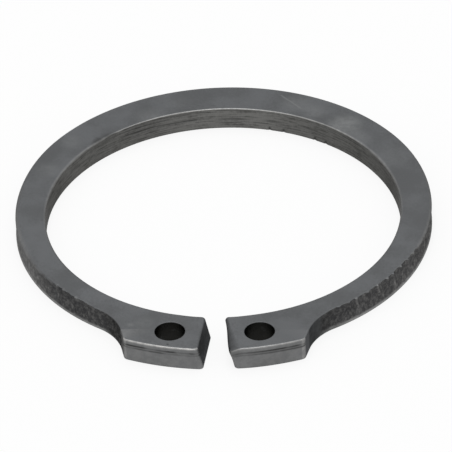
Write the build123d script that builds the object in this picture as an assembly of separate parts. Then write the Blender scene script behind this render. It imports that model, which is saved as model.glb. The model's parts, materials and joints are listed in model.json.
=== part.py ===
from build123d import *
import math
import os

# External retaining ring for a 32 mm shaft, heavy pattern, stamped from 2 mm spring steel.
# Frame: the ring lies flat, its underside at Z = 0 and the axis of its bore on Z. The two
# lugs face each other across the gap on the -Y side. +Z points out of the rolled-edge face.
# All lengths are millimetres and all angles are degrees.

# Ring
BORE = 29.6              # diameter of the bore, relaxed
THICKNESS = 2.0          # thickness of the strip
WIDTH_BACK = 3.23        # radial width opposite the gap
WIDTH_FRONT = 1.93       # radial width that the outline without lugs has at the gap

# Lugs
LUG_HEIGHT = 4.55        # bore to the lugs' outer arc
LUG_SPAN = 22.4          # half the angle that the pair of lugs takes up at the outer arc
LUG_TAPER = 13.5         # angle by which a flank leans towards the gap on its way out
LUG_FLANK_FILLET = 4.6   # concave radius that carries a flank into the ring
LUG_CORNER = 0.45        # rounding in plan of a lug's outer corner at its flank
LUG_TIP = 0.35           # rounding in plan of a lug's outer corner at the gap
LUG_HEEL = 0.3           # rounding in plan of a lug's inner corner at the gap

# Plier holes
HOLE = 2.5               # diameter
HOLE_INSET = 2.37        # bore to the centre of a hole
HOLE_ANGLE = 12.3        # angle between a hole and the gap's centre line
HOLE_ROLL = 0.12         # rounding of a hole's upper rim

# Gap, sheared open so that both end faces lean the same way
GAP = 1.55               # width at the bore
GAP_OFFSET = 0.15        # place of the gap beside the -Y axis, at mid-thickness
GAP_FLARE_LEFT = 6.0     # angle between the left end face and the -Y axis
GAP_FLARE_RIGHT = 11.0   # angle between the right end face and the -Y axis
GAP_LEAN = 12.0          # lean of both end faces from upright
GAP_ROLL = 0.4           # how far the soft upper edge of the right end face reaches back
GAP_ROLL_RISE = 0.22     # how full that edge is: its arc's rise over its reach

# Edges, rolled over by the press tool above and just broken below
ROLL_TOP = 0.18          # rounding of the upper edges
BREAK_UNDER = 0.06       # bevel of the lower edges

bore_radius = BORE / 2
outer_radius = (BORE + WIDTH_BACK + WIDTH_FRONT) / 2
outer_centre_y = (WIDTH_BACK - WIDTH_FRONT) / 2
lug_radius = bore_radius + LUG_HEIGHT
hole_radius = bore_radius + HOLE_INSET
gap_left, gap_right = GAP_OFFSET - GAP / 2, GAP_OFFSET + GAP / 2
flare_left = math.tan(math.radians(GAP_FLARE_LEFT))
flare_right = math.tan(math.radians(GAP_FLARE_RIGHT))
lean = math.tan(math.radians(GAP_LEAN))
clear = 2 * LUG_HEIGHT   # how far a cutter runs past what it cuts


def polar(radius, angle):
    """The point at this radius, at an angle from the -Y axis that grows towards +X."""
    turn = math.radians(angle)
    return radius * math.sin(turn), -radius * math.cos(turn)


def lug_plan():
    """Both lugs together in plan: the part of the lug circle between the two flanks."""
    corner_x, corner_y = polar(lug_radius, LUG_SPAN)
    slope = math.tan(math.radians(LUG_TAPER))
    low_y, high_y = -lug_radius - clear, 0
    low_x = corner_x + slope * (low_y - corner_y)
    high_x = corner_x + slope * (high_y - corner_y)
    between = Polygon((-low_x, low_y), (low_x, low_y), (high_x, high_y), (-high_x, high_y), align=None)
    return Circle(lug_radius) & between


def outline():
    """The ring and its lugs in plan, with eased flanks and rounded corners, before any cut."""
    plan = Pos(0, outer_centre_y) * Circle(outer_radius) + lug_plan()
    plan = fillet(plan.vertices().sort_by(Axis.Y)[2:4], LUG_FLANK_FILLET)
    return fillet(plan.vertices().sort_by(Axis.Y)[:2], LUG_CORNER)


def gap_cutter():
    """A leaning wedge that opens towards -Y and shears the ring's two end faces."""
    inward, outward = GAP, LUG_HEIGHT + clear
    plan = Polygon(
        (gap_left + flare_left * inward, -bore_radius + inward),
        (gap_left - flare_left * outward, -bore_radius - outward),
        (gap_right + flare_right * outward, -bore_radius - outward),
        (gap_right - flare_right * inward, -bore_radius + inward),
        align=None,
    )
    foot = Pos(lean * THICKNESS, 0, -THICKNESS / 2) * plan
    return extrude(foot, 2 * THICKNESS * math.hypot(1, lean), dir=(-lean, 0, 1))


def gap_corners(ring):
    """The four upright edges of the end faces, the inner two first."""
    sides = ring.faces().filter_by(GeomType.PLANE).filter_by(lambda face: abs(face.normal_at().Z) < 0.9)
    corners = ShapeList()
    for face in sides.sort_by(lambda face: abs(face.center().X - GAP_OFFSET))[:2]:
        corners += face.edges().filter_by(lambda edge: edge.bounding_box().size.Z > THICKNESS / 2)
    return corners.sort_by(lambda edge: math.hypot(edge.center().X, edge.center().Y))


def sheared_ring():
    """The blank with its bore and gap cut, and the corners of its ends rounded."""
    ring = extrude(outline() - Circle(bore_radius), THICKNESS) - gap_cutter()
    ring = fillet(gap_corners(ring)[:2], LUG_HEEL)
    return fillet(gap_corners(ring)[2:], LUG_TIP)


def rolled_edges(ring):
    """The ring with its upper edges rolled over and its lower edges just broken."""
    ring = fillet(ring.edges().group_by(Axis.Z)[-1], ROLL_TOP)
    return chamfer(ring.edges().group_by(Axis.Z)[0], BREAK_UNDER)


def end_roll_cutter():
    """What the broad soft edge takes off the top of the right end face, along its whole length."""
    inward, outward = GAP, LUG_HEIGHT + clear
    start_x = gap_right - flare_right * inward - lean * THICKNESS / 2
    profile = Plane(origin=(start_x, -bore_radius + inward, THICKNESS), x_dir=(1, 0, 0), z_dir=(0, -1, 0))
    back, down = Vector(GAP_ROLL, 0), Vector(lean * GAP_ROLL, -GAP_ROLL)
    middle = (back + down) * 0.5
    crown = middle - middle.normalized() * GAP_ROLL_RISE * GAP_ROLL
    beside, above = Vector(-GAP_ROLL, 0), Vector(0, GAP_ROLL)
    edge = ThreePointArc(back, crown, down)
    rim = Polyline(down, down + beside, beside + above, back + above, back)
    cut = profile * make_face([edge, rim])
    length = (inward + outward) * math.hypot(1, flare_right)
    return extrude(cut, length, dir=(flare_right, -1, 0))


def plier_holes(ring):
    """The ring with a plier hole through each lug, its upper rim rolled over."""
    for side in (-1, 1):
        x, y = polar(hole_radius, side * HOLE_ANGLE)
        ring -= Pos(x, y, THICKNESS / 2) * Cylinder(HOLE / 2, 2 * THICKNESS)
    rims = ring.edges().filter_by(GeomType.CIRCLE).group_by(Axis.Z)[-1]
    rims = rims.filter_by(lambda edge: abs(edge.radius - HOLE / 2) < HOLE_ROLL / 10)
    return fillet(rims, HOLE_ROLL)


def retaining_ring():
    """The whole ring, one stamped piece."""
    ring = rolled_edges(sheared_ring()) - end_roll_cutter()
    return plier_holes(ring)


ring = retaining_ring()
os.makedirs("parts", exist_ok=True)
export_step(ring, "parts/retaining_ring.step")
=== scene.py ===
import json
import math

import bpy
import numpy as np
from mathutils import Matrix, Vector, kdtree, noise
from mathutils.geometry import delaunay_2d_cdt


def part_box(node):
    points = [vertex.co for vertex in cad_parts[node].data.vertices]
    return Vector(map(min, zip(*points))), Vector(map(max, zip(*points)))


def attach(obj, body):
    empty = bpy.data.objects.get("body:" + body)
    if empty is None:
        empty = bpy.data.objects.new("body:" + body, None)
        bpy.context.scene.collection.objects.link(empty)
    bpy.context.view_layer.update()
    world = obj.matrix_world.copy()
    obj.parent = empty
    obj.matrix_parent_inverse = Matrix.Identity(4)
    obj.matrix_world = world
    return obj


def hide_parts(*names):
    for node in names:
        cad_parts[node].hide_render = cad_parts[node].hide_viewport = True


# The dressed model of an external retaining ring. The ring's mesh is worked out here in
# millimetres and turned into metres when the mesh is made. A bearing is an angle round the
# bore in degrees: 0 at the gap on -Y, positive on the right (+X), and 180 at the back.

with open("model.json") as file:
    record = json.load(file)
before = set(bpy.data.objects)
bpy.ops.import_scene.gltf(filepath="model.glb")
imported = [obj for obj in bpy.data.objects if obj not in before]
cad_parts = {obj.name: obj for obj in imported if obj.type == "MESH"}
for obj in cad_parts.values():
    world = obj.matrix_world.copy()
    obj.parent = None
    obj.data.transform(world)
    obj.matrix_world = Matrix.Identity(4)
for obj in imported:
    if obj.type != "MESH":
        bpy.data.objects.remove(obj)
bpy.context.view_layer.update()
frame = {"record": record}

MM = 0.001
NODE = "retaining_ring"


def mount(name):
    """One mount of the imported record."""
    return next(m for m in frame["record"]["mounts"] if m["name"] == name)


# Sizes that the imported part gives
low, high = [[c / MM for c in corner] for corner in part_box(NODE)]
THICKNESS = high[2] - low[2]
BORE_RADIUS = mount("shaft_grip")["dims"]["r_mm"]
EYE_RADIUS = mount("plier_eye_left")["dims"]["r_mm"]
EYES = [
    [c / MM for c in mount(name)["pos_m"][:2]] for name in ("plier_eye_left", "plier_eye_right")
]
OUTER_RADIUS = (high[0] - low[0]) / 2
OUTER_Y = high[1] - OUTER_RADIUS

# Lugs and gap, as the solid has them
LUG_HEIGHT = 4.55
LUG_RADIUS = BORE_RADIUS + LUG_HEIGHT
LUG_SPAN = math.radians(22.4)
LUG_TAPER = math.radians(13.5)
FLANK_EASE = 4.6
LUG_CORNER = 0.45
LUG_TIP = 0.35
LUG_HEEL = 0.3
GAP = 1.55
GAP_OFFSET = 0.15
FLARE_LEFT = math.radians(6)
FLARE_RIGHT = math.radians(11)
GAP_LEAN = math.tan(math.radians(12))

# Edges
ROLL = 0.15              # rounding of the upper edges of the lugs
ROLL_RING = 0.08         # the same round the outside of the ring
ROLL_BORE = 0.10         # the same round the back of the bore
ROLL_BORE_SIDE = 0.20    # the same at the sides of the bore
ROLL_TORN = 0.05         # what is left of it where the outside is bitten away
ROLL_SOFT = 0.36         # the softer upper edge on the left of the ring
ROLL_SOFT_RIGHT = 0.24   # the same on its right
ROLL_EYE = 0.04          # upper rim of a plier eye
BREAK = 0.06             # lower edges
FLAT_EDGE = 0.05         # flat strip beside an edge that keeps a face's shading flat

# Mesh spacing
STEP_FINE = 0.075        # along the outer edge, the lugs and the end faces
STEP_BORE = 0.10         # along the bore
WALL_LOW = (0.06, 0.6, 10)    # rows of the lower wall: first and last height, and their number
WALL_HIGH = (0.63, 0.9, 10)   # rows above them, closer together for the press lines
WALL_LAST = 0.95         # the row under the rounding of the upper edge
ROWS_ROLL = 5            # round the upper edge
GRID_FACE = 0.34         # between the points inside a flat face
GRID_RIM = 0.13          # the same beside the ragged outer edge
RIM_DEPTH = 0.6          # how far in from the outer edge that finer grid reaches
END_BAND = (-0.8, 0.9)   # where it also covers the right end, in from the end face
GRID_CLEAR = 0.6         # share of the spacing that the points keep clear of an edge
FACE_WAVE = 0.003        # waviness of the upper face
EYE_POINTS = 72          # round a plier eye

# Torn outside
BITE_SEED = 11
BITE_LENGTHS = (0.75, 1.7)    # shortest and longest bite
BITE_DEPTHS = (0.55, 1.0)     # shares of the depths below that a bite has
BITES_RIGHT = 0.24            # depth of the bites in the wall, on the right
BITES_LEFT = 0.16             # and on the left
BITES_TOP_RIGHT = (0.11, 0.30)    # depth at the upper edge, beside the lug and further round
BITES_TOP_LEFT = 0.17
GRAIN_DEPTH = 0.08            # depth of the fine grain
TORN_INSET = 0.02             # how far all the torn wall lies behind the outline
RIM_EDGE = 0.09               # height over which the smooth foot of the wall turns torn

# Marks of the press tool
LINE_DEPTH = 0.03
PRESS_LINES = (               # across a lug's front: distance below the top, width, strength, seed
    (0.46, 0.08, 1.15, 9),
    (0.68, 0.07, 0.85, 10),
)
GROOVE_DEPTH = 0.03
GROOVE_CLIMB = 0.007          # rise of the bore's grooves for each degree past 180
GROOVE_FADE = 5               # degrees over which a groove starts and ends
GROOVES = (                   # round the bore: height, first and last bearing, width, strength
    (0.96, 172, 222, 0.06, 0.9),
    (0.97, 160, 171, 0.06, 0.7),
    (1.66, 184, 232, 0.05, 0.7),
    (1.38, 196, 240, 0.05, 0.55),
    (1.70, 128, 150, 0.05, 0.5),
    (0.62, 200, 245, 0.05, 0.45),
)
NICK_DEPTH = 0.07
NICK_WIDTH = 0.10
NICKS = (146.6, 150.8, 162.2, 167.0)    # bearings of small nicks in the bore's lower edge

# Slump of the right end, as pairs: beside the bore and near the lug's outer arc
SLUMP_REACH = (0.28, 0.78)    # how far in from the end face the upper face starts to sink
SLUMP_SAG = (0.08, 0.40)      # how far it has sunk at the end face
SLUMP_OUT = 0.29              # how far the end is dragged out near the lug's outer arc
SLUMP_DEEPEST = 1.4           # no point further in than this moves
SLUMP_INNER = -0.3            # and none further inwards along the end face

# Shares of the worn light colour on the edges
WORN_LUG = {"lug": 0.165, "tip": 0.195, "corner": 0.355}
WORN_CREST_LEFT = 0.70        # on the crest of a lug's upper rounding
WORN_CREST_RIGHT = 0.42
WORN_FLANK_LEFT = 0.12
WORN_FLANK_RIGHT = 0.04
WORN_RIDGE = 0.21             # between two bites
WORN_FOOT = 0.32              # on the smooth foot of the torn wall
WORN_SOFT = 0.16              # on the soft upper edges at the sides
WORN_WALL_LEFT = 0.20         # on the wall at the left side
WORN_WALL_RIGHT = (0.02, 0.05)    # the same at the right, in two steps
WORN_BORE_BACK = 0.5          # on the bore's upper edge
WORN_BORE_SIDE = 0.2

# Shares of the dark colour on them: painted shade on the lugs' flanks, the eases, the end faces,
# the slumped right end and inside the plier eyes, and a darker part of the bore
PAINTED_SHADE_FLANK = 0.05
PAINTED_SHADE_EASE = 0.44
PAINTED_SHADE_LEFT = 0.07              # more of it on the left, beside the lug
PAINTED_SHADE_END = 0.42
PAINTED_SHADE_SLUMP = 0.32
DARK_BORE = 0.30
PAINTED_SHADE_EYE = 1.25               # over 1, so that the mottling leaves the eye black


# ---------------------------------------------------------------- outline

def toward(centre, point, reach):
    """The point at this reach from a centre, in the direction of another point."""
    k = reach / math.dist(centre, point)
    return centre[0] + k * (point[0] - centre[0]), centre[1] + k * (point[1] - centre[1])


def foot(start, along, point):
    """The point of a line that is nearest to another point."""
    s = (point[0] - start[0]) * along[0] + (point[1] - start[1]) * along[1]
    return start[0] + s * along[0], start[1] + s * along[1]


def rounding(start, along, gap, centre, reach, near):
    """The centre of a rounding: gap to the left of a line and reach from a circle's centre."""
    px, py = start[0] - gap * along[1], start[1] + gap * along[0]
    fx, fy = px - centre[0], py - centre[1]
    b = fx * along[0] + fy * along[1]
    root = math.sqrt(b * b - (fx * fx + fy * fy - reach * reach))
    ends = [(px + s * along[0], py + s * along[1]) for s in (-b - root, -b + root)]
    return min(ends, key=lambda end: math.dist(end, near))


def lug(side):
    """Where the roundings of one lug lie and touch. side is 1 on the right and -1 on the left."""
    ring_at, origin = (0, OUTER_Y), (0, 0)
    corner = (side * LUG_RADIUS * math.sin(LUG_SPAN), -LUG_RADIUS * math.cos(LUG_SPAN))
    along = (side * math.sin(LUG_TAPER), math.cos(LUG_TAPER))
    root = (corner[0] + FLANK_EASE * along[0], corner[1] + FLANK_EASE * along[1])
    corner_at = rounding(corner, along, side * LUG_CORNER, origin, LUG_RADIUS - LUG_CORNER, corner)
    ease_at = rounding(corner, along, -side * FLANK_EASE, ring_at, OUTER_RADIUS + FLANK_EASE, root)
    flare = FLARE_RIGHT if side > 0 else FLARE_LEFT
    start = (GAP_OFFSET + side * GAP / 2, -BORE_RADIUS)
    out = (side * math.sin(flare), -math.cos(flare))
    tip = (start[0], -LUG_RADIUS)
    tip_at = rounding(start, out, side * LUG_TIP, origin, LUG_RADIUS - LUG_TIP, tip)
    heel_at = rounding(start, out, side * LUG_HEEL, origin, BORE_RADIUS + LUG_HEEL, start)
    return {
        "corner_at": corner_at,
        "corner_lug": toward(origin, corner_at, LUG_RADIUS),
        "corner_flank": foot(corner, along, corner_at),
        "ease_at": ease_at,
        "ease_flank": foot(corner, along, ease_at),
        "ease_ring": toward(ring_at, ease_at, OUTER_RADIUS),
        "tip_at": tip_at,
        "tip_lug": toward(origin, tip_at, LUG_RADIUS),
        "tip_end": foot(start, out, tip_at),
        "heel_at": heel_at,
        "heel_end": foot(start, out, heel_at),
        "heel_bore": toward(origin, heel_at, BORE_RADIUS),
    }


def arc(centre, start, stop, turn, step, kind):
    """Points along an arc. turn is 1 where the steel is on the centre's side, and -1 elsewhere."""
    radius = math.dist(centre, start)
    a = math.atan2(start[1] - centre[1], start[0] - centre[0])
    b = math.atan2(stop[1] - centre[1], stop[0] - centre[0])
    sweep = (b - a) * turn % (2 * math.pi)
    count = max(4, math.ceil(sweep * radius / step))
    points = []
    for i in range(count):
        c, s = (f(a + turn * sweep * i / count) for f in (math.cos, math.sin))
        points.append((centre[0] + radius * c, centre[1] + radius * s, turn * c, turn * s, kind))
    return points


def line(start, stop, step, kind):
    """Points along a straight stretch, with the steel on its left."""
    length = math.dist(start, stop)
    dx, dy = (stop[0] - start[0]) / length, (stop[1] - start[1]) / length
    count = max(2, math.ceil(length / step))
    gaps = [length * i / count for i in range(count)]
    return [(start[0] + dx * g, start[1] + dy * g, dy, -dx, kind) for g in gaps]


def outline():
    """The outline in plan at mid-thickness: x, y, normal and kind, with the steel on the left."""
    right, left = lug(1), lug(-1)
    ring_at, origin = (0, OUTER_Y), (0, 0)
    fine = STEP_FINE
    return (
        arc(origin, right["tip_lug"], right["corner_lug"], 1, fine, "lug")
        + arc(right["corner_at"], right["corner_lug"], right["corner_flank"], 1, fine, "corner")
        + line(right["corner_flank"], right["ease_flank"], fine, "flank")
        + arc(right["ease_at"], right["ease_flank"], right["ease_ring"], -1, fine, "ease")
        + arc(ring_at, right["ease_ring"], left["ease_ring"], 1, fine, "outer")
        + arc(left["ease_at"], left["ease_ring"], left["ease_flank"], -1, fine, "ease")
        + line(left["ease_flank"], left["corner_flank"], fine, "flank")
        + arc(left["corner_at"], left["corner_flank"], left["corner_lug"], 1, fine, "corner")
        + arc(origin, left["corner_lug"], left["tip_lug"], 1, fine, "lug")
        + arc(left["tip_at"], left["tip_lug"], left["tip_end"], 1, fine, "tip")
        + line(left["tip_end"], left["heel_end"], fine, "end_left")
        + arc(left["heel_at"], left["heel_end"], left["heel_bore"], 1, fine, "heel")
        + arc(origin, left["heel_bore"], right["heel_bore"], -1, STEP_BORE, "bore")
        + arc(right["heel_at"], right["heel_bore"], right["heel_end"], 1, fine, "heel")
        + line(right["heel_end"], right["tip_end"], fine, "end_right")
        + arc(right["tip_at"], right["tip_end"], right["tip_lug"], 1, fine, "tip")
    )


# ---------------------------------------------------------------- surface of the edges

# dark is painted shade on the eyes, end faces, eases, flanks and slumped end, and a darker part of
# the bore
SKIN = ("torn", "line", "worn", "dark", "bore")    # what the material reads at each point
LUG_FRONT = ("lug", "tip", "corner")               # kinds of outline with the press lines
OUTSIDE = ("outer", "ease", "flank")               # kinds of outline that can be torn


def smooth(low_end, high_end, value):
    """0 below one value and 1 above the other, easing between them."""
    t = min(1.0, max(0.0, (value - low_end) / (high_end - low_end)))
    return t * t * (3 - 2 * t)


def within(start, full, fade, end, value):
    """1 from full to fade, easing to 0 at start and at end."""
    return smooth(start, full, value) * (1 - smooth(fade, end, value))


def mix(first, second, share):
    """The first value where the share is 0, and the second where it is 1."""
    return first + (second - first) * share


def rough(x, y, z, size, seed):
    """Smooth noise of about this feature size in millimetres, from -1 to 1."""
    place = (x / size + seed * 7.3, y / size - seed * 3.1, z / size + seed * 5.7)
    return noise.noise(Vector(place))


def bite_table():
    """The torn edge's bites along the outside: start, length and depth of each, in order."""
    draw = np.random.default_rng(BITE_SEED)
    bites, at = [], 0.0
    while at < 2 * math.pi * OUTER_RADIUS:
        length = draw.uniform(*BITE_LENGTHS)
        bites.append((at, length, draw.uniform(*BITE_DEPTHS)))
        at += length
    return bites


BITES = bite_table()
BITE_STARTS = np.array([bite[0] for bite in BITES])


def bite(distance):
    """How deep the tear bites at a distance along the outside, 0 on the ridge between two bites."""
    distance %= 2 * math.pi * OUTER_RADIUS
    at, length, depth = BITES[int(np.searchsorted(BITE_STARTS, distance, side="right")) - 1]
    along = min(1.0, max(0.0, (distance - at) / length))
    return depth * mix(0.75, 1, along) * within(0.0, 0.24, 0.86, 1.0, along)


def across_back(bearing, right, left):
    """A value that differs between the ring's two sides, and passes over evenly at the back."""
    near, far = (right, left) if bearing > 0 else (left, right)
    return mix(near, far, 0.5 * smooth(135, 180, abs(bearing)))


def along_outside(x, y, z, bearing):
    """Distance along the outside that the bites are laid out in: their ridges lean and wander."""
    lean = across_back(bearing, -0.2, -0.1)
    wander = 0.10 * rough(x, y, z, 0.5, 5)
    return (math.radians(bearing) + math.pi) * OUTER_RADIUS + lean * (THICKNESS - z) + wander


def top_bites(bearing):
    """Depth of the bites at the upper edge. The back's upper edge is whole."""
    if bearing > 0:
        return mix(*BITES_TOP_RIGHT, smooth(40, 47, bearing)) * within(31, 36, 64, 77, bearing)
    return BITES_TOP_LEFT * within(35, 42, 46, 60, -bearing)


def tear_strength(bearing, kind):
    """How deep the outside is torn at a bearing: (bites, grain)."""
    if kind not in OUTSIDE:
        return 0.0, 0.0
    start = smooth(28, 34, bearing) if bearing > 0 else smooth(20.5, 24.5, -bearing)
    bites = across_back(bearing, BITES_RIGHT, BITES_LEFT) * smooth(33, 42, abs(bearing))
    return bites, GRAIN_DEPTH * start


def rim_height(x, y, bearing):
    """Height of the smooth burnished rim that is left along the foot of the torn outside."""
    side = abs(bearing)
    right = 0.10 + 0.14 * smooth(26, 31, side) * (1 - 0.5 * smooth(34, 42, side))
    left = 0.02 + 0.17 * smooth(30, 34, side)
    base = across_back(bearing, right, left)
    return base + 0.05 * rough(x, y, 0, 0.8, 3) + 0.03 * rough(x, y, 0, 0.25, 4)


def tear(x, y, z, bearing, kind):
    """The torn outside: its depth below the outline, how torn it is, how much of a ridge."""
    bites, grain = tear_strength(bearing, kind)
    torn = smooth(0.0, RIM_EDGE, z - rim_height(x, y, bearing)) * smooth(0.0, 0.05, grain)
    if torn == 0:
        return 0.0, 0.0, 0.0
    bitten = bite(along_outside(x, y, z, bearing))
    whole = top_bites(bearing)
    near_top = smooth(THICKNESS - 0.75, THICKNESS - 0.25, z)
    scale = mix(bites * mix(0.3, 1, smooth(0.2, 0.9, z)), whole, near_top)
    lumps = max(0.0, 0.5 + 0.5 * rough(x, y, z, 0.32, 6) + 0.35 * rough(x, y, z, 0.15, 7))
    grain *= 1 - near_top * (1 - smooth(0.0, 0.1, whole))
    depth = scale * bitten + grain * lumps + TORN_INSET * (1 - near_top)
    ridge = (1 - smooth(0.0, 0.4, bitten)) * smooth(0.03, 0.2, scale)
    ridge *= smooth(-0.25, 0.35, rough(x, y, z, 0.7, 9))
    return depth * torn, torn, ridge * torn


def lug_lines(x, y, z, kind):
    """The two fine press lines across a lug's front: (depth, darkness)."""
    if kind not in LUG_FRONT:
        return 0.0, 0.0
    wave = 0.03 * rough(x, y, 0, 1.6, 8)
    dark = 0.0
    for below, width, strength, seed in PRESS_LINES:
        near = math.exp(-((THICKNESS - z - below - wave) / width) ** 2)
        fade = mix(0.35, 1, smooth(-0.35, 0.1, rough(x, y, 0, 1.1, seed)))
        if x > GAP_OFFSET:
            fade *= mix(0.45, 1, smooth(1.5, 5.5, x))
        dark += near * strength * fade
    return LINE_DEPTH * dark, min(1.0, dark)


def bore_marks(x, y, z, bearing, kind):
    """Grooves round the back of the bore, and nicks in its lower edge: (depth, darkness)."""
    if kind != "bore" or abs(bearing) < 120:
        return 0.0, 0.0
    back = bearing % 360
    climb = GROOVE_CLIMB * max(0.0, back - 180)
    groove = 0.0
    for i, (height, first, last, width, strength) in enumerate(GROOVES):
        wave = 0.03 * rough(x, y, 0, 2.5, 31 + i)
        near = math.exp(-((z - height - climb - wave) / width) ** 2)
        run = within(first, first + GROOVE_FADE, last - GROOVE_FADE, last, back)
        groove += strength * near * run * smooth(-0.5, 0.0, rough(x, y, 0, 1.3, 41 + i))
    away = min(abs(math.radians(bearing - at)) for at in NICKS) * BORE_RADIUS
    nick = math.exp(-(away / NICK_WIDTH) ** 2) * (1 - smooth(0.25, 0.45, z))
    return GROOVE_DEPTH * groove + NICK_DEPTH * nick, min(1.0, groove + nick)


def roll_at(point):
    """Rounding of the upper edge at one point of the outline: as far in as it is down."""
    x, y, _, _, kind = point
    bearing = math.degrees(math.atan2(x, -y))
    side = abs(bearing)
    if kind == "bore":
        roll = mix(ROLL_BORE, ROLL_BORE_SIDE, within(40, 70, 118, 148, side))
        return roll + (ROLL - ROLL_BORE) * (1 - smooth(6, 12, side))
    if kind in OUTSIDE:
        roll = mix(ROLL_RING, ROLL_SOFT, within(42, 78, 92, 125, -bearing))
        roll += (ROLL_SOFT_RIGHT - ROLL_RING) * within(62, 78, 96, 125, bearing)
        bitten = bite(along_outside(x, y, THICKNESS, bearing))
        bitten *= smooth(0.02, 0.12, top_bites(bearing))
        return mix(roll, ROLL_TORN, smooth(0.1, 0.5, bitten))
    if kind == "corner":
        at_lug = smooth(LUG_RADIUS - 0.35, LUG_RADIUS - 0.1, math.hypot(x, y))
        return mix(ROLL_RING, ROLL, at_lug)
    return ROLL


def from_right_end(x, y):
    """Distance of a point from the right end face, into the steel, and its place along it."""
    dx, dy = x - GAP_OFFSET - GAP / 2, y + BORE_RADIUS
    c, s = math.cos(FLARE_RIGHT), math.sin(FLARE_RIGHT)
    return dx * c + dy * s, dx * s - dy * c


def slumped(x, y, z):
    """Where a point of the right lug goes as the shear drags its end down and out: its x and z,
    and how much it is part of the slump."""
    inward, along = from_right_end(x, y)
    if x < GAP_OFFSET or along < SLUMP_INNER or inward > SLUMP_DEEPEST:
        return x, z, 0.0
    reach = mix(*SLUMP_REACH, smooth(0.3, 4.0, along))
    share = min(1.0, max(0.0, 1 - inward / reach))
    high = smooth(0.7, THICKNESS, z)
    out = SLUMP_OUT * smooth(0.4, 4.2, along) * (1 - smooth(0.0, 1.3, inward))
    sag = mix(*SLUMP_SAG, smooth(0.0, 3.5, along)) * share ** 1.7 * high
    return x - out, z - sag, smooth(0.0, 0.7, share) * high


def lean_share(x, y, kind=""):
    """How far a point follows the lean of its end face: 1 beside it, 0 well into the lug."""
    if kind in ("end_left", "end_right", "tip", "heel"):
        return 1.0
    if y > -BORE_RADIUS * 0.9:
        return 0.0
    return 1 - smooth(0.6, 2.6, abs(x - GAP_OFFSET) - GAP / 2)


def section():
    """The rows of the edge from the underside up, each as (part, inset, height). The last two
    are factors of the part's size, but the flat row's inset is a length."""
    rows = [("under", 1 + FLAT_EDGE / BREAK, 0.0)]
    rows += [("under", 1.0, 0.0), ("under", 0.3, 0.3), ("under", 0.0, 1.0)]
    heights = [*np.linspace(*WALL_LOW), *np.linspace(*WALL_HIGH), WALL_LAST]
    rows += [("wall", 0.0, float(height)) for height in heights]
    for i in range(ROWS_ROLL + 1):
        turn = math.pi / 2 * i / ROWS_ROLL
        rows.append(("roll", 1 - math.cos(turn), math.sin(turn)))
    return rows + [("flat", FLAT_EDGE, 1.0)]


def on_wall(top):
    """1 on the wall and 0 on its upper rounding. top is how far up that rounding a point is."""
    return 1 - smooth(0.25, 0.75, top)


def on_crest(top):
    """1 on the crest of the upper rounding, easing to 0 on the wall and on the upper face."""
    return within(0.1, 0.6, 0.9, 1.0, top)


def lug_worn(bearing, kind, top):
    """How worn a lug's front is: most on the crest of its upper rounding, and not on top."""
    worn, crest = WORN_LUG[kind], WORN_CREST_LEFT
    if bearing > 0:
        worn += 0.09 * (1 - smooth(3.5, 8, bearing))
        crest = WORN_CREST_RIGHT - 0.12 * (1 - smooth(4, 10, bearing))
    else:
        worn -= 0.025 * (1 - smooth(6, 12, -bearing))
    return worn * (1 - smooth(0.9, 1.0, top)) + (crest - worn) * on_crest(top)


def outside_skin(x, y, z, bearing, kind, ridge, top):
    """Worn shares and painted shade (the dark share) of the ring's outside, its eases and the lugs'
    flanks.
    """
    side = abs(bearing)
    past_ease = smooth(31, 41, bearing) if bearing > 0 else smooth(28, 36, -bearing)
    # painted shade on the eases and flanks, with more of it on the left beside the lug
    dark = (PAINTED_SHADE_FLANK if kind == "flank" else PAINTED_SHADE_EASE) * on_wall(top) * (1 - past_ease)
    dark += PAINTED_SHADE_LEFT * on_wall(top) * within(26, 31, 46, 56, -bearing)
    torn = smooth(0.0, RIM_EDGE, z - rim_height(x, y, bearing))
    worn = WORN_RIDGE * ridge + WORN_FOOT * smooth(26, 36, side) * (1 - torn)
    worn += WORN_SOFT * on_crest(top) * smooth(55, 78, side)
    if kind == "flank":
        worn += WORN_FLANK_RIGHT if bearing > 0 else WORN_FLANK_LEFT
    bright = WORN_WALL_LEFT * smooth(50, 69, -bearing)
    bright += WORN_WALL_RIGHT[0] * smooth(38, 44, bearing)
    bright += WORN_WALL_RIGHT[1] * smooth(54, 70, bearing)
    return worn + bright * on_wall(top) * (1 - smooth(105, 150, side)), dark


def skin(x, y, z, bearing, kind, ridge, top):
    """What the material reads at one point of the edge: its worn, dark and bore shares, the dark
    share being painted shade on the end faces, eases and flanks, and a darker part of the bore.
    top is how far up the rounding of the upper edge the point is."""
    side = abs(bearing)
    bore = on_wall(top) if kind in ("bore", "heel") else 0.0
    worn = dark = 0.0
    if kind in LUG_FRONT:
        worn = lug_worn(bearing, kind, top)
    elif kind in OUTSIDE:
        worn, dark = outside_skin(x, y, z, bearing, kind, ridge, top)
    # painted shade on the end faces
    elif kind == "end_left":
        dark = PAINTED_SHADE_END * on_wall(top)
    elif kind == "end_right":
        dark = PAINTED_SHADE_END
    elif kind == "bore":
        at_back = smooth(125, 155, side)
        worn = WORN_BORE_BACK * at_back + WORN_BORE_SIDE * smooth(50, 75, side) * (1 - at_back)
        worn *= on_crest(top)
        dark = DARK_BORE * on_wall(top) * mix(0.25, 1, smooth(116, 134, side))
        dark *= 1 - smooth(148, 170, side)
    return worn, dark, bore


def row_place(row, roll):
    """How far in from the outline and how high one row of the edge lies."""
    part, inset, rise = row
    if part == "under":
        return inset * BREAK, rise * BREAK
    if part == "wall":
        return inset, BREAK + (THICKNESS - roll - BREAK) * rise
    if part == "roll":
        return inset * roll, THICKNESS - roll + roll * rise
    return inset + roll, THICKNESS


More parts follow.
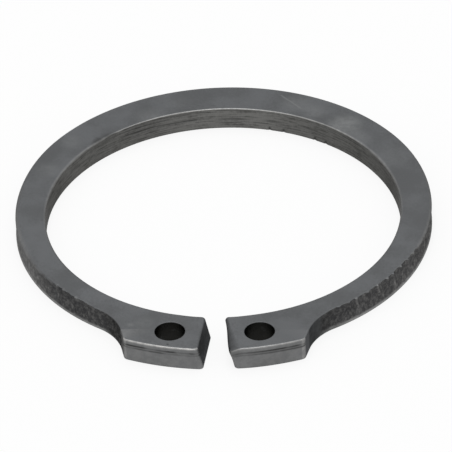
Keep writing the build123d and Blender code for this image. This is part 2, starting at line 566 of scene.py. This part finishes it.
def wall_point(point, row, roll, share):
    """One point of the edge, with what its material reads: x, y, z, torn, line, worn, dark (painted
    shade, also a darker part of the bore), bore.
    roll is the rounding of the upper edge there, and share is what lean_share gives."""
    x, y, nx, ny, kind = point
    inset, z = row_place(row, roll)
    top = row[2] if row[0] in ("roll", "flat") else 0.0
    bearing = math.degrees(math.atan2(x, -y))
    depth, torn, ridge = tear(x, y, z, bearing, kind)
    groove, dark_line = lug_lines(x, y, z, kind)
    mark, dark_mark = bore_marks(x, y, z, bearing, kind)
    depth += inset + groove + mark
    px, py = x - nx * depth, y - ny * depth
    turn = -GAP_LEAN * (z - THICKNESS / 2) * share / math.hypot(px, py)
    c, s = math.cos(turn), math.sin(turn)
    ragged = 0.5 * rough(x, y, 0, 0.45, 12) + 0.3 * rough(x, y, 0, 0.2, 13)
    torn *= 1 - smooth(0.2, 0.6, top + ragged)
    torn *= 1 - 0.5 * within(56, 76, 120, 165, -bearing)
    worn, dark, bore = skin(x, y, z, bearing, kind, ridge, top)
    sx, sz, slump = slumped(px, py, z)
    # painted shade on the slumped right end
    dark = max(dark, PAINTED_SHADE_SLUMP * slump)
    return sx * c - py * s, sx * s + py * c, sz, torn, dark_line + dark_mark, worn, dark, bore


def wall():
    """The whole edge of the ring: rows by points of what wall_point gives."""
    points = outline()
    rows = section()
    grid = np.zeros((len(rows), len(points), 3 + len(SKIN)))
    for i, point in enumerate(points):
        roll = roll_at(point)
        share = lean_share(point[0], point[1], point[4])
        for j, row in enumerate(rows):
            grid[j, i] = wall_point(point, row, roll, share)
    return grid


# ---------------------------------------------------------------- faces

def eye_loop(centre, radius):
    """A circle of points round a plier eye, walked with the steel on its left."""
    turns = [-2 * math.pi * i / EYE_POINTS for i in range(EYE_POINTS)]
    return [(centre[0] + radius * math.cos(t), centre[1] + radius * math.sin(t)) for t in turns]


def inside(points, loop):
    """Which of the points lie inside a closed loop."""
    x, y = points[:, 0], points[:, 1]
    found = np.zeros(len(points), bool)
    for (ax, ay), (bx, by) in zip(loop, np.roll(loop, -1, axis=0)):
        crosses = (ay > y) != (by > y)
        if crosses.any():
            found ^= crosses & (x < ax + (y - ay) * (bx - ax) / ((by - ay) or 1e-12))
    return found


def face_grid(loop, eyes, fine):
    """Points inside a flat face. If fine is set, they lie closer together beside the torn
    outside and the slumped end."""
    tree = kdtree.KDTree(len(loop) + sum(len(eye) for eye in eyes))
    edge = [*loop, *(p for eye in eyes for p in eye)]
    for i, (x, y) in enumerate(edge):
        tree.insert((x, y, 0), i)
    tree.balance()
    kept = []
    spacings = [(GRID_FACE, RIM_DEPTH if fine else 0.0, math.inf)]
    if fine:
        spacings.append((GRID_RIM, 0.0, RIM_DEPTH))
    for step, nearest, furthest in spacings:
        height = step * math.sqrt(3) / 2
        for row, y in enumerate(np.arange(low[1], high[1] + height, height)):
            for x in np.arange(low[0] + (row % 2) * step / 2, high[0], step):
                depth = OUTER_RADIUS - math.hypot(x, y - OUTER_Y) if y > -BORE_RADIUS else math.inf
                inward, along = from_right_end(x, y)
                if along > SLUMP_INNER and END_BAND[0] < inward < END_BAND[1]:
                    depth = 0.0
                if nearest <= depth < furthest and tree.find((x, y, 0))[2] > GRID_CLEAR * step:
                    kept.append((x, y))
    kept = np.array(kept)
    keep = inside(kept, np.array(loop))
    for eye in eyes:
        keep &= ~inside(kept, np.array(eye))
    return [tuple(p) for p in kept[keep]]


def fill(loop, eyes, fine):
    """A flat face: its points, those of the loop and eyes first, and its triangles."""
    points = [Vector(p) for p in loop]
    edges = [(i, (i + 1) % len(loop)) for i in range(len(loop))]
    for eye in eyes:
        first = len(points)
        points += [Vector(p) for p in eye]
        edges += [(first + i, first + (i + 1) % len(eye)) for i in range(len(eye))]
    points += [Vector(p) for p in face_grid(loop, eyes, fine)]
    made = delaunay_2d_cdt(points, edges, [], 0, 1e-7, True)
    coords, triangles = np.array([tuple(v) for v in made[0]]), np.array(made[2])
    assert len(coords) == len(points), "the edges of a flat face cross or touch"
    centres = coords[triangles].mean(axis=1)
    keep = inside(centres, np.array(loop))
    for eye in eyes:
        keep &= ~inside(centres, np.array(eye))
    source = np.array([ids[0] for ids in made[3]])
    return np.array([tuple(p) for p in points]), source[triangles[keep]]


def top_point(x, y):
    """All that wall_point gives for a point of the upper face, which is flat but for the faint
    waviness of rolled strip and the slumped end of the right lug."""
    wave = rough(x, y, 0, 3.5, 21) + 0.4 * rough(x, y, 0, 1.1, 22)
    z = THICKNESS - FACE_WAVE * (1 + wave)
    target = x + GAP_LEAN * THICKNESS / 2 * lean_share(x, y)
    before = target
    for _ in range(3):    # steps towards the place that the slump moves to the target
        before += target - slumped(before, y, z)[0]
    _, sunk, slump = slumped(before, y, z)
    # painted shade where the right end slumps
    return x, y, sunk, 0, 0, 0, PAINTED_SHADE_SLUMP * slump, 0


def eye_section():
    """The rows of an eye's wall from the underside up: (how much wider than the eye, height)."""
    rows = [(BREAK + FLAT_EDGE, 0.0), (BREAK, 0.0), (0.0, BREAK)]
    rows += [(0.0, THICKNESS * share) for share in (0.25, 0.5, 0.75)]
    rows.append((0.0, THICKNESS - 1.6 * ROLL_EYE))
    for i in range(ROWS_ROLL + 1):
        turn = math.pi / 2 * i / ROWS_ROLL
        rows.append((ROLL_EYE * (1 - math.cos(turn)), THICKNESS + ROLL_EYE * (math.sin(turn) - 1)))
    return rows + [(ROLL_EYE + FLAT_EDGE, THICKNESS)]


def band(first, rows, count):
    """Triangles of a closed band: rows of this many points each, numbered from first."""
    made = []
    for j in range(rows - 1):
        a = first + j * count + np.arange(count)
        b = first + j * count + (np.arange(count) + 1) % count
        quads = np.stack([a, b, b + count, a + count], axis=1)
        made += [quads[:, [0, 1, 2]], quads[:, [0, 2, 3]]]
    return made


def ring_mesh():
    """The whole ring: its points, each with what the material reads there, and its triangles."""
    grid = wall()
    rows, count = grid.shape[:2]
    coords = [grid.reshape(-1, 3 + len(SKIN))]
    faces = band(0, rows, count)
    total = rows * count
    eye_rows = eye_section()
    eye_first = []
    for centre in EYES:
        eye_first.append(total)
        for wide, z in eye_rows:
            loop = eye_loop(centre, EYE_RADIUS + wide)
            # painted shade on the walls of the plier eyes
            dark = PAINTED_SHADE_EYE if 0 < z < THICKNESS - 1.2 * ROLL_EYE else 0
            coords.append(np.array([(x, y, z, 0, 0, 0, dark, 0) for x, y in loop]))
        faces += band(total, len(eye_rows), EYE_POINTS)
        total += len(eye_rows) * EYE_POINTS
    for top in (True, False):
        row = rows - 1 if top else 0
        eye_row = len(eye_rows) - 1 if top else 0
        loop = [tuple(p) for p in grid[row, :, :2]]
        eyes = [eye_loop(centre, EYE_RADIUS + eye_rows[eye_row][0]) for centre in EYES]
        points, triangles = fill(loop, eyes, top)
        ids = list(row * count + np.arange(count))
        for first in eye_first:
            ids += list(first + eye_row * EYE_POINTS + np.arange(EYE_POINTS))
        added = points[len(ids):]
        ids += list(total + np.arange(len(added)))
        total += len(added)
        if top:
            coords.append(np.array([top_point(x, y) for x, y in added]))
        else:
            coords.append(np.column_stack([added, np.zeros((len(added), 1 + len(SKIN)))]))
        ids = np.array(ids)
        faces.append(ids[triangles] if top else ids[triangles][:, ::-1])
    return np.vstack(coords), np.vstack(faces)


def build_ring():
    """The ring as one closed mesh, with what its material reads stored on its points."""
    coords, faces = ring_mesh()
    mesh = bpy.data.meshes.new("ring_steel")
    mesh.from_pydata((coords[:, :3] * MM).tolist(), [], faces.tolist())
    mesh.polygons.foreach_set("use_smooth", [True] * len(mesh.polygons))
    for column, name in enumerate(SKIN, start=3):
        layer = mesh.attributes.new(name, "FLOAT", "POINT")
        layer.data.foreach_set("value", coords[:, column].astype(np.float32))
    mesh.update()
    piece = bpy.data.objects.new("spring_ring", mesh)
    bpy.context.scene.collection.objects.link(piece)
    return piece


# ---------------------------------------------------------------- material

def node(tree, kind, **values):
    """A shader node. values set its properties or, where it has none of that name, its inputs."""
    made = tree.nodes.new(kind)
    for name, value in values.items():
        if hasattr(made, name):
            setattr(made, name, value)
        else:
            made.inputs[name].default_value = value
    return made


def math_node(tree, operation, a, b=0.0, c=0.0):
    """A math node on sockets or numbers, and its result."""
    made = tree.nodes.new("ShaderNodeMath")
    made.operation = operation
    for i, value in enumerate((a, b, c)):
        if hasattr(value, "is_output"):
            tree.links.new(value, made.inputs[i])
        else:
            made.inputs[i].default_value = value
    return made.outputs[0]


def remap(tree, value, low_in, high_in, low_out=0.0, high_out=1.0):
    """A value eased from one range to another."""
    made = tree.nodes.new("ShaderNodeMapRange")
    made.interpolation_type = "SMOOTHSTEP"
    tree.links.new(value, made.inputs["Value"])
    made.inputs["From Min"].default_value = low_in
    made.inputs["From Max"].default_value = high_in
    made.inputs["To Min"].default_value = low_out
    made.inputs["To Max"].default_value = high_out
    return made.outputs["Result"]


def blend_colours(tree, share, first, second):
    """A mix of two colours, each a socket or a colour, by a share."""
    made = tree.nodes.new("ShaderNodeMix")
    made.data_type = "RGBA"
    tree.links.new(share, made.inputs[0])
    for slot, value in ((6, first), (7, second)):
        if hasattr(value, "is_output"):
            tree.links.new(value, made.inputs[slot])
        else:
            made.inputs[slot].default_value = (*value, 1)
    return made.outputs[2]


def paint(tree, colour, mask, strength, over):
    """A colour with another laid over it, by a mask times a strength."""
    return blend_colours(tree, math_node(tree, "MULTIPLY", mask, strength), colour, over)


def pattern(tree, place, size, detail, roughness, stretch=(1, 1, 1)):
    """Noise with features of about this size in millimetres."""
    scaled = tree.nodes.new("ShaderNodeVectorMath")
    scaled.operation = "MULTIPLY"
    tree.links.new(place, scaled.inputs[0])
    scaled.inputs[1].default_value = [s / (size * MM) for s in stretch]
    made = tree.nodes.new("ShaderNodeTexNoise")
    tree.links.new(scaled.outputs[0], made.inputs["Vector"])
    made.inputs["Scale"].default_value = 1.0
    made.inputs["Detail"].default_value = detail
    made.inputs["Roughness"].default_value = roughness
    return made.outputs["Fac"]


# Colours, each pair the lightest and darkest of a surface
FACE = (0.127, 0.131, 0.136)
FACE_DARK = (0.103, 0.106, 0.109)
BORE = (0.160, 0.159, 0.153)
BORE_DARK = (0.074, 0.073, 0.070)
TORN_LIGHT = (0.163, 0.161, 0.158)
TORN = (0.060, 0.060, 0.062)
WORN = (0.55, 0.54, 0.52)             # bare steel on worn edges
SCUFF = (0.21, 0.215, 0.215)
LINE = (0.042, 0.042, 0.041)          # in press lines, grooves and nicks
# DARK is painted shade where the dark share lays it, on the eyes, end faces, eases, flanks and
# slumped end; it is also the colour of the stains and of a darker part of the bore
DARK = (0.019, 0.019, 0.0175)         # in the eyes, and in part on the end faces and eases

# Light scuffs on the upper face: x, y, reach and strength
SCUFFS = (
    (9.8, 12.4, 2.0, 0.70),
    (5.6, 15.6, 1.8, 0.27),
    (10.9, 10.4, 1.6, 0.30),
    (7.2, 14.3, 1.4, 0.30),
    (13.8, 7.6, 2.4, 0.14),
    (-4.3, 15.8, 1.6, 0.12),
    (-6.8, 13.6, 1.8, 0.25),
    (-13.2, 9.9, 1.3, 0.25),
    (-14.9, 6.0, 1.4, 0.22),
    (-5.8, -15.6, 1.2, 0.20),
    (-6.9, -15.9, 0.42, 0.34),
)
# Dark stains on it: a speck by the left lug's edge, and a faint one over the right lug
STAINS = ((-3.75, -18.55, 0.16, 0.5), (6.0, -16.4, 5.0, 0.07))
SCRATCH = ((4.25, 16.8), (6.15, 14.7), 0.10)    # start, end and half width
SCRATCH_STRENGTH = 0.42

METALLIC = 0.95
SPECULAR_TINT = (0.3, 0.3, 0.3, 1)
SATIN = (0.40, 0.50)          # least and most roughness of the sound faces
TORN_ROUGHER = 0.2            # more roughness where the steel is torn
WORN_SMOOTHER = 0.08          # less where it is worn
BUMP = 0.04                   # height of the finest grain in millimetres
BUMP_FACE = 0.05              # its strength on the sound faces
BUMP_TORN = 0.6               # and how much stronger it is where the steel is torn


def spot(tree, place, x, y, reach):
    """1 at a point of the upper face, fading to 0 at this reach in millimetres."""
    away = tree.nodes.new("ShaderNodeVectorMath")
    away.operation = "DISTANCE"
    tree.links.new(place, away.inputs[0])
    away.inputs[1].default_value = (x * MM, y * MM, THICKNESS * MM)
    return remap(tree, away.outputs["Value"], reach * MM, 0.2 * reach * MM)


def scratch(tree, place, jitter):
    """1 along the fine scratch on the upper face, 0 elsewhere. jitter breaks its edges up."""
    start, stop, wide = SCRATCH
    length = math.dist(start, stop)
    along = ((stop[0] - start[0]) / length, (stop[1] - start[1]) / length)
    measured = []
    for dx, dy in (along, (-along[1], along[0])):
        dot = tree.nodes.new("ShaderNodeVectorMath")
        dot.operation = "DOT_PRODUCT"
        tree.links.new(place, dot.inputs[0])
        dot.inputs[1].default_value = (dx / MM, dy / MM, 0)
        origin = start[0] * dx + start[1] * dy
        measured.append(math_node(tree, "SUBTRACT", dot.outputs["Value"], origin))
    run, across = measured
    across = math_node(tree, "MULTIPLY_ADD", jitter, 0.12, math_node(tree, "ADD", across, -0.06))
    share = remap(tree, math_node(tree, "ABSOLUTE", across), wide, 0.2 * wide)
    height = tree.nodes.new("ShaderNodeSeparateXYZ")
    tree.links.new(place, height.inputs[0])
    for mask in (
        remap(tree, run, -0.1, 0.1),
        remap(tree, run, length + 0.1, length - 0.5),
        remap(tree, height.outputs["Z"], 0.9 * THICKNESS * MM, 0.98 * THICKNESS * MM),
    ):
        share = math_node(tree, "MULTIPLY", share, mask)
    return share


def face_colour(tree, place, fleck, mottle):
    """Colour of the sound faces: clouded grey with scuffs, a scratch and dark stains."""
    cloud = pattern(tree, place, 3.2, 3.0, 0.55)
    clouded = math_node(tree, "MULTIPLY", cloud, 0.65)
    clouded = math_node(tree, "MULTIPLY_ADD", fleck, 0.35, clouded)
    colour = blend_colours(tree, remap(tree, clouded, 0.38, 0.62), FACE_DARK, FACE)
    broken = remap(tree, mottle, 0.2, 0.7, 0.3, 1.0)
    for x, y, reach, strength in SCUFFS:
        scuff = math_node(tree, "MULTIPLY", spot(tree, place, x, y, reach), broken)
        colour = paint(tree, colour, scuff, strength, SCUFF)
    colour = paint(tree, colour, scratch(tree, place, fleck), SCRATCH_STRENGTH, SCUFF)
    for x, y, reach, strength in STAINS:
        colour = paint(tree, colour, spot(tree, place, x, y, reach), strength, DARK)
    return colour


def steel():
    """Blackened spring steel: satin faces, a dark torn outside, worn rims, press lines, and painted
    shade on the eyes, end faces, eases, flanks and slumped end.
    """
    material = bpy.data.materials.new("blackened_spring_steel")
    material.use_nodes = True
    tree = material.node_tree
    shader = tree.nodes["Principled BSDF"]
    place = tree.nodes.new("ShaderNodeTexCoord").outputs["Object"]
    skin_of = {
        name: node(tree, "ShaderNodeAttribute", attribute_name=name).outputs["Fac"] for name in SKIN
    }
    fleck = pattern(tree, place, 0.22, 3.0, 0.65)
    mottle = pattern(tree, place, 0.5, 4.0, 0.65)
    grain = pattern(tree, place, 0.34, 4.0, 0.75)
    streak = pattern(tree, place, 0.09, 3.0, 0.65, stretch=(0.045, 0.045, 1))

    colour = face_colour(tree, place, fleck, mottle)
    drawn = math_node(tree, "MULTIPLY_ADD", grain, 0.3, math_node(tree, "MULTIPLY", streak, 0.7))
    bore_colour = blend_colours(tree, remap(tree, drawn, 0.35, 0.56), BORE_DARK, BORE)
    colour = blend_colours(tree, skin_of["bore"], colour, bore_colour)
    torn_colour = blend_colours(tree, remap(tree, grain, 0.40, 0.72), TORN, TORN_LIGHT)
    colour = blend_colours(tree, skin_of["torn"], colour, torn_colour)
    colour = paint(tree, colour, skin_of["worn"], remap(tree, mottle, 0.3, 0.7, 0.55, 1.0), WORN)
    # painted shade: the dark share lays DARK over the eyes, end faces, eases, flanks and slumped
    # end, and over a darker part of the bore
    colour = paint(tree, colour, skin_of["dark"], remap(tree, mottle, 0.3, 0.7, 1.15, 0.7), DARK)
    colour = blend_colours(tree, skin_of["line"], colour, LINE)
    tree.links.new(colour, shader.inputs["Base Color"])

    shader.inputs["Metallic"].default_value = METALLIC
    shader.inputs["Specular Tint"].default_value = SPECULAR_TINT
    roughness = remap(tree, fleck, 0.3, 0.7, *SATIN)
    roughness = math_node(tree, "MULTIPLY_ADD", skin_of["torn"], TORN_ROUGHER, roughness)
    roughness = math_node(tree, "MULTIPLY_ADD", skin_of["worn"], -WORN_SMOOTHER, roughness)
    tree.links.new(roughness, shader.inputs["Roughness"])

    bump = tree.nodes.new("ShaderNodeBump")
    bump.inputs["Distance"].default_value = BUMP * MM
    strength = math_node(tree, "MULTIPLY_ADD", skin_of["torn"], BUMP_TORN, BUMP_FACE)
    tree.links.new(strength, bump.inputs["Strength"])
    tree.links.new(pattern(tree, place, 0.12, 2.0, 0.6), bump.inputs["Height"])
    tree.links.new(bump.outputs["Normal"], shader.inputs["Normal"])
    return material


ring = build_ring()
ring.data.materials.append(steel())
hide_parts(NODE)
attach(ring, "root")


# ---------------------------------------------------------------- stage, light and camera

FLOOR_HALF = 3.0              # metres from its middle to an edge
FLOOR_DROP = 0.01             # how far it lies below the ring, in millimetres
FLOOR_WHITE = (0.9, 0.9, 0.9, 1)
FLOOR_GLOW = 0.85             # how much of its plain white is seen, the rest is lit
WORLD_GREY = (0.85, 0.85, 0.85, 1)
WORLD_STRENGTH = 0.8
WHITE = (1, 1, 1, 1)


def seen(tree):
    """1 for what the camera sees, also by gloss or through glass, and 0 for other light."""
    path = tree.nodes.new("ShaderNodeLightPath")
    share = math_node(tree, "ADD", path.outputs["Is Camera Ray"], path.outputs["Is Glossy Ray"])
    return math_node(tree, "ADD", share, path.outputs["Is Transmission Ray"])


def mix_shaders(tree, share, first, second):
    """The output of a mix of two shaders by a share."""
    made = tree.nodes.new("ShaderNodeMixShader")
    for i, source in enumerate((share, first, second)):
        tree.links.new(source, made.inputs[i])
    return made.outputs[0]


def white_floor():
    """A white floor that keeps a faint shadow. It is seen from above only, so that it doesn't
    hide the ring's underside from a camera below."""
    mesh = bpy.data.meshes.new("floor")
    corners = [(x * FLOOR_HALF, y * FLOOR_HALF) for x, y in ((-1, -1), (1, -1), (1, 1), (-1, 1))]
    mesh.from_pydata([(x, y, -FLOOR_DROP * MM) for x, y in corners], [], [(0, 1, 2, 3)])
    floor = bpy.data.objects.new("floor", mesh)
    bpy.context.scene.collection.objects.link(floor)
    material = bpy.data.materials.new("floor_white")
    material.use_nodes = True
    tree = material.node_tree
    tree.nodes.clear()
    matt = node(tree, "ShaderNodeBsdfDiffuse", Color=FLOOR_WHITE).outputs[0]
    glow = node(tree, "ShaderNodeEmission", Color=WHITE, Strength=1.0).outputs[0]
    above = mix_shaders(tree, math_node(tree, "MULTIPLY", seen(tree), FLOOR_GLOW), matt, glow)
    from_below = tree.nodes.new("ShaderNodeNewGeometry").outputs["Backfacing"]
    clear = tree.nodes.new("ShaderNodeBsdfTransparent").outputs[0]
    out = tree.nodes.new("ShaderNodeOutputMaterial")
    tree.links.new(mix_shaders(tree, from_below, above, clear), out.inputs["Surface"])
    mesh.materials.append(material)


def soft_world():
    """An even grey surround for light, white where the camera or gloss sees it."""
    world = bpy.data.worlds.new("studio")
    bpy.context.scene.world = world
    world.use_nodes = True
    tree = world.node_tree
    tree.nodes.clear()
    even = node(tree, "ShaderNodeBackground", Color=WORLD_GREY, Strength=WORLD_STRENGTH)
    white = node(tree, "ShaderNodeBackground", Color=WHITE, Strength=1.0)
    out = tree.nodes.new("ShaderNodeOutputWorld")
    mixed = mix_shaders(tree, seen(tree), even.outputs[0], white.outputs[0])
    tree.links.new(mixed, out.inputs["Surface"])


def lamp(name, place, target, size, power):
    """A soft lamp that faces a point. size is its width and its length."""
    data = bpy.data.lights.new(name, "AREA")
    data.shape = "RECTANGLE"
    data.size, data.size_y = size
    data.energy = power
    light = bpy.data.objects.new(name, data)
    bpy.context.scene.collection.objects.link(light)
    light.location = place
    light.rotation_euler = (Vector(target) - Vector(place)).to_track_quat("-Z", "Y").to_euler()


# The key lamp hangs over the back of the ring and is long from front to back
KEY_PLACE = (-0.01, 0.03, 0.45)
KEY_TARGET = (-0.01, 0.03, 0)
KEY_SIZE = (0.2, 0.55)
KEY_POWER = 0.9

CAMERA_TURN = math.radians(3.6)
CAMERA_RISE = math.radians(35.86)
CAMERA_ROLL = math.radians(-2.23)
CAMERA_RANGE = 0.592                          # metres
CAMERA_LENS = 564.5                           # millimetres, on the sensor below
CAMERA_SENSOR = 36.0
CAMERA_AIM = Vector((0.166, 0.569, 0)) * MM


def camera():
    """The camera, turned about the ring, raised above the floor and rolled a little."""
    data = bpy.data.cameras.new("camera")
    data.sensor_width = CAMERA_SENSOR
    data.lens = CAMERA_LENS
    data.clip_start = 0.01
    eye = bpy.data.objects.new("camera", data)
    bpy.context.scene.collection.objects.link(eye)
    flat, rise = math.cos(CAMERA_RISE), math.sin(CAMERA_RISE)
    right = Vector((math.cos(CAMERA_TURN), math.sin(CAMERA_TURN), 0))
    back = Vector((right.y * flat, -right.x * flat, rise))
    up = back.cross(right)
    c, s = math.cos(CAMERA_ROLL), math.sin(CAMERA_ROLL)
    turned = Matrix((c * right + s * up, c * up - s * right, back)).transposed().to_4x4()
    turned.translation = CAMERA_AIM + back * CAMERA_RANGE
    eye.matrix_world = turned
    bpy.context.scene.camera = eye


white_floor()
soft_world()
lamp("key", KEY_PLACE, KEY_TARGET, KEY_SIZE, KEY_POWER)
camera()
bpy.context.scene.view_settings.view_transform = "Standard"
